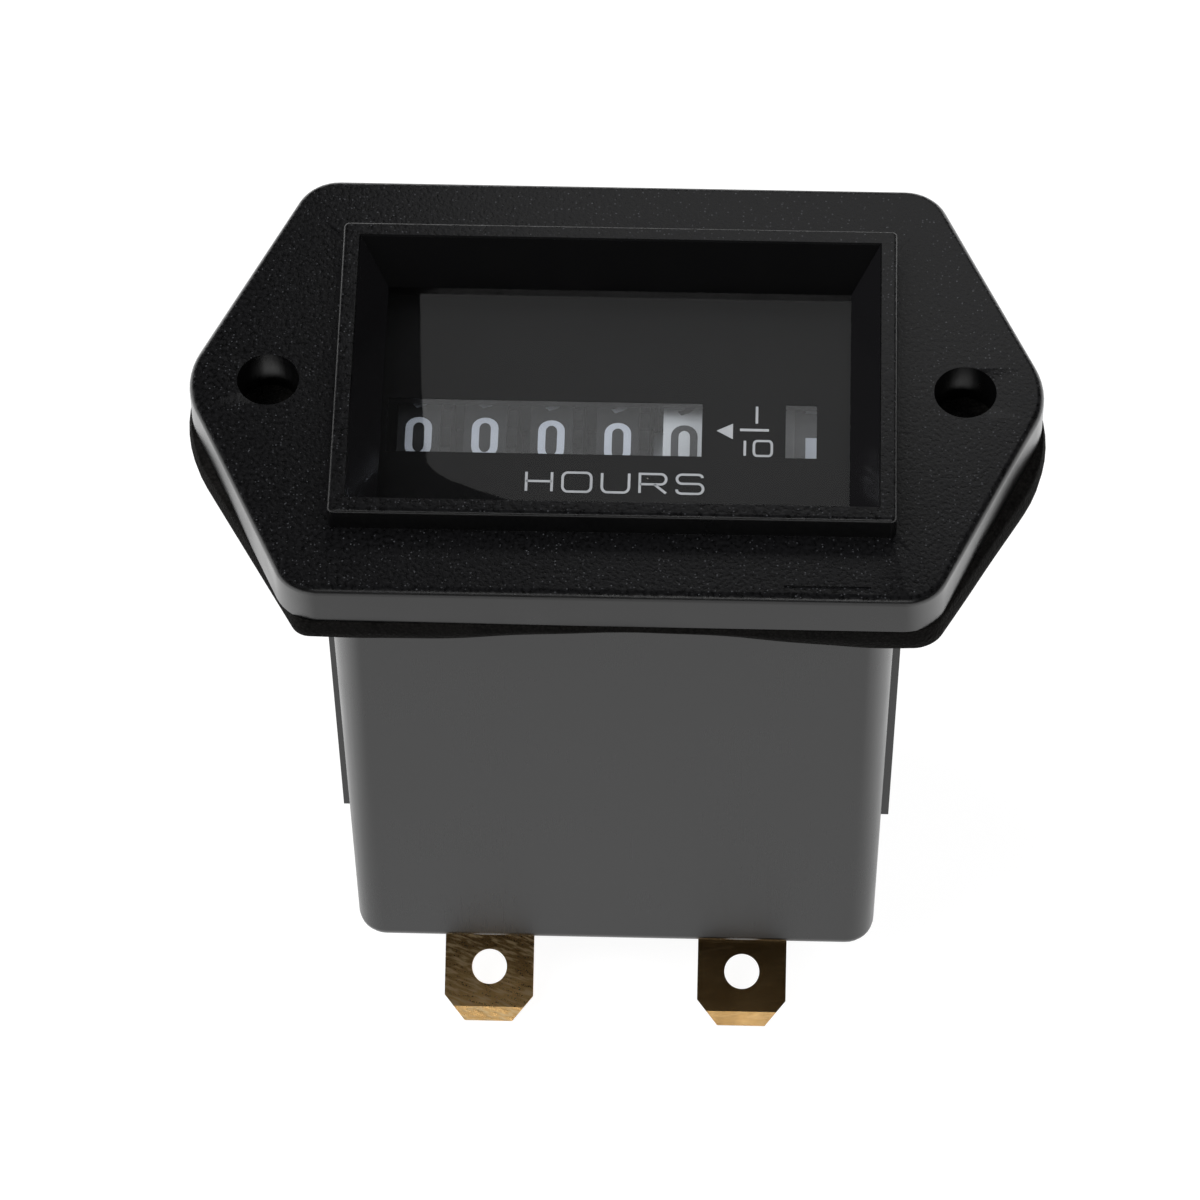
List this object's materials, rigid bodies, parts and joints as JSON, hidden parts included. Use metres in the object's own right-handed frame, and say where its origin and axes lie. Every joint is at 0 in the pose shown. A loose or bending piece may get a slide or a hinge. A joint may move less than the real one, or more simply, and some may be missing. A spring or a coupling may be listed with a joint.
{
  "type": "panel hour meter",
  "caption": "Panel-mount hour meter: flanged bezel with a recessed window, number wheels and a running indicator driven by a stepping motor, deep case, gasket and blade terminals.",
  "frame": {"origin": "centre of the flange's back face, midway between the two screw holes", "axes": "+Z out of the dial towards the viewer, +X to the right of the digits, +Y to their top"},
  "size_m": [0.0562, 0.0336, 0.058],
  "materials": {
    "bezel_plastic": "fine textured",
    "lens": "clear polished",
    "dial": "matte print",
    "gasket_foam": "closed cell foam",
    "case_plastic": "semi-gloss",
    "blade_brass": "rolled",
    "frame_plastic": "moulded",
    "steel": "ground",
    "white_wheel": "moulded",
    "grey_wheel": "moulded",
    "red_plastic": "moulded",
    "magnet": "sintered",
    "iron": "stamped",
    "rivet_brass": "formed",
    "bobbin_plastic": "moulded",
    "winding": "enamelled wire",
    "tin": "tinned",
    "board": "solder mask",
    "chip": "moulded",
    "sleeve": "shrink sleeve",
    "black_wheel": "moulded",
    "gear_plastic": "moulded"
  },
  "bodies": {
    "housing": {"bezel": "bezel_plastic", "lens": "lens", "dial_plate": "dial", "gasket": "gasket_foam", "case": "case_plastic", "terminal_left": "blade_brass", "terminal_right": "blade_brass", "counter_frame": "frame_plastic", "wheel_shaft": "steel", "pinion_shaft": "steel", "stator": "iron", "coil_core": "iron", "core_rivets": "rivet_brass", "coil_bobbin": "bobbin_plastic", "coil_winding": "winding", "coil_pins": "tin", "circuit_board": "board", "quartz_crystal": "tin", "driver_chip": "chip", "capacitor": "sleeve", "rectifier_diode": "chip"},
    "number_wheel_5": {"number_wheel_5": "white_wheel"},
    "number_wheel_4": {"number_wheel_4": "black_wheel"},
    "number_wheel_3": {"number_wheel_3": "black_wheel"},
    "number_wheel_2": {"number_wheel_2": "black_wheel"},
    "number_wheel_1": {"number_wheel_1": "black_wheel"},
    "transfer_pinion_4": {"transfer_pinion_4": "gear_plastic"},
    "transfer_pinion_3": {"transfer_pinion_3": "gear_plastic"},
    "transfer_pinion_2": {"transfer_pinion_2": "gear_plastic"},
    "transfer_pinion_1": {"transfer_pinion_1": "gear_plastic"},
    "second_gear": {"second_gear": "gear_plastic", "drive_pinion": "gear_plastic"},
    "indicator_wheel": {"indicator_wheel": "grey_wheel"},
    "first_gear": {"first_gear": "gear_plastic"},
    "rotor": {"rotor_pinion": "red_plastic", "rotor_magnet": "magnet"}
  },
  "joints": [
    {"name": "tenths_wheel_turn", "type": "hinge", "parent": "housing", "child": "number_wheel_5", "pos_m": [0, -0.00145, -0.00755], "axis": [-1, 0, 0], "continuous": true},
    {"name": "units_wheel_turn", "type": "hinge", "parent": "housing", "child": "number_wheel_4", "pos_m": [0, -0.00145, -0.00755], "axis": [-1, 0, 0], "continuous": true},
    {"name": "tens_wheel_turn", "type": "hinge", "parent": "housing", "child": "number_wheel_3", "pos_m": [0, -0.00145, -0.00755], "axis": [-1, 0, 0], "continuous": true},
    {"name": "hundreds_wheel_turn", "type": "hinge", "parent": "housing", "child": "number_wheel_2", "pos_m": [0, -0.00145, -0.00755], "axis": [-1, 0, 0], "continuous": true},
    {"name": "thousands_wheel_turn", "type": "hinge", "parent": "housing", "child": "number_wheel_1", "pos_m": [0, -0.00145, -0.00755], "axis": [-1, 0, 0], "continuous": true},
    {"name": "transfer_pinion_4_turn", "type": "hinge", "parent": "housing", "child": "transfer_pinion_4", "pos_m": [0, -0.00565, -0.01482], "axis": [-1, 0, 0], "continuous": true},
    {"name": "transfer_pinion_3_turn", "type": "hinge", "parent": "housing", "child": "transfer_pinion_3", "pos_m": [0, -0.00565, -0.01482], "axis": [-1, 0, 0], "continuous": true},
    {"name": "transfer_pinion_2_turn", "type": "hinge", "parent": "housing", "child": "transfer_pinion_2", "pos_m": [0, -0.00565, -0.01482], "axis": [-1, 0, 0], "continuous": true},
    {"name": "transfer_pinion_1_turn", "type": "hinge", "parent": "housing", "child": "transfer_pinion_1", "pos_m": [0, -0.00565, -0.01482], "axis": [-1, 0, 0], "continuous": true},
    {"name": "second_gear_turn", "type": "hinge", "parent": "housing", "child": "second_gear", "pos_m": [0, 0.00205, -0.01519], "axis": [-1, 0, 0], "continuous": true},
    {"name": "indicator_turn", "type": "hinge", "parent": "housing", "child": "indicator_wheel", "pos_m": [0, -0.00145, -0.00755], "axis": [-1, 0, 0], "continuous": true},
    {"name": "first_gear_turn", "type": "hinge", "parent": "housing", "child": "first_gear", "pos_m": [0, -0.00048, -0.0232], "axis": [-1, 0, 0], "continuous": true},
    {"name": "rotor_turn", "type": "hinge", "parent": "housing", "child": "rotor", "pos_m": [0, -0.00048, -0.0304], "axis": [-1, 0, 0], "continuous": true}
  ],
  "couplings": [
    {"joint": "units_wheel_turn", "follows": "tenths_wheel_turn", "ratio": 0.1},
    {"joint": "tens_wheel_turn", "follows": "tenths_wheel_turn", "ratio": 0.01},
    {"joint": "hundreds_wheel_turn", "follows": "tenths_wheel_turn", "ratio": 0.001},
    {"joint": "thousands_wheel_turn", "follows": "tenths_wheel_turn", "ratio": 0.0001},
    {"joint": "transfer_pinion_4_turn", "follows": "tenths_wheel_turn", "ratio": -0.25},
    {"joint": "transfer_pinion_3_turn", "follows": "tenths_wheel_turn", "ratio": -0.025},
    {"joint": "transfer_pinion_2_turn", "follows": "tenths_wheel_turn", "ratio": -0.0025},
    {"joint": "transfer_pinion_1_turn", "follows": "tenths_wheel_turn", "ratio": -0.00025},
    {"joint": "second_gear_turn", "follows": "tenths_wheel_turn", "ratio": -3},
    {"joint": "indicator_turn", "follows": "tenths_wheel_turn", "ratio": 9},
    {"joint": "first_gear_turn", "follows": "tenths_wheel_turn", "ratio": 18},
    {"joint": "rotor_turn", "follows": "tenths_wheel_turn", "ratio": -90}
  ]
}
